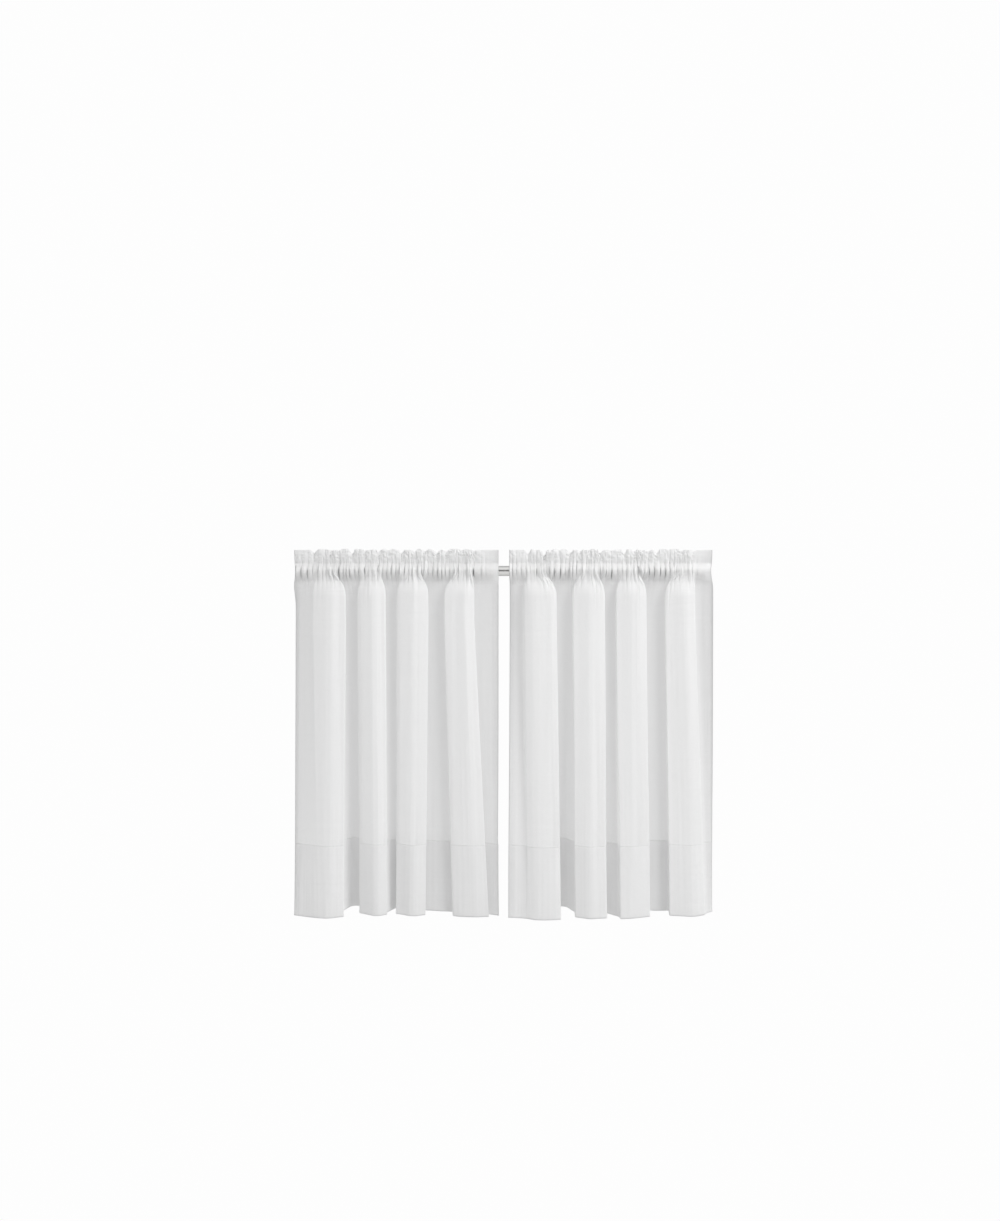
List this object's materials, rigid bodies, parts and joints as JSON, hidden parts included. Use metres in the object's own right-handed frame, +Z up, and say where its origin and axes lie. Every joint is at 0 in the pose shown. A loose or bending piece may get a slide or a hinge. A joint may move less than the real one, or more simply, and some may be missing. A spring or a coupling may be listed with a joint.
{
  "type": "pair of cafe curtains on a curtain rod",
  "caption": "Sheer white rod-pocket cafe curtain tiers with ruffled headings and deep hems, gathered side by side on a plain round rod.",
  "frame": {"origin": "on the rod's axis, half way along it", "axes": "+X along the rod to the right of someone in the room, -Y towards the room, +Z up"},
  "size_m": [1.0504, 0.0821, 0.9116],
  "materials": {
    "white_voile": "sheer plain-woven polyester voile, matt with a faint sheen",
    "satin_nickel": "satin nickel plate"
  },
  "bodies": {
    "root": {"rod": "satin_nickel", "left_panel": "white_voile", "right_panel": "white_voile"}
  },
  "joints": []
}
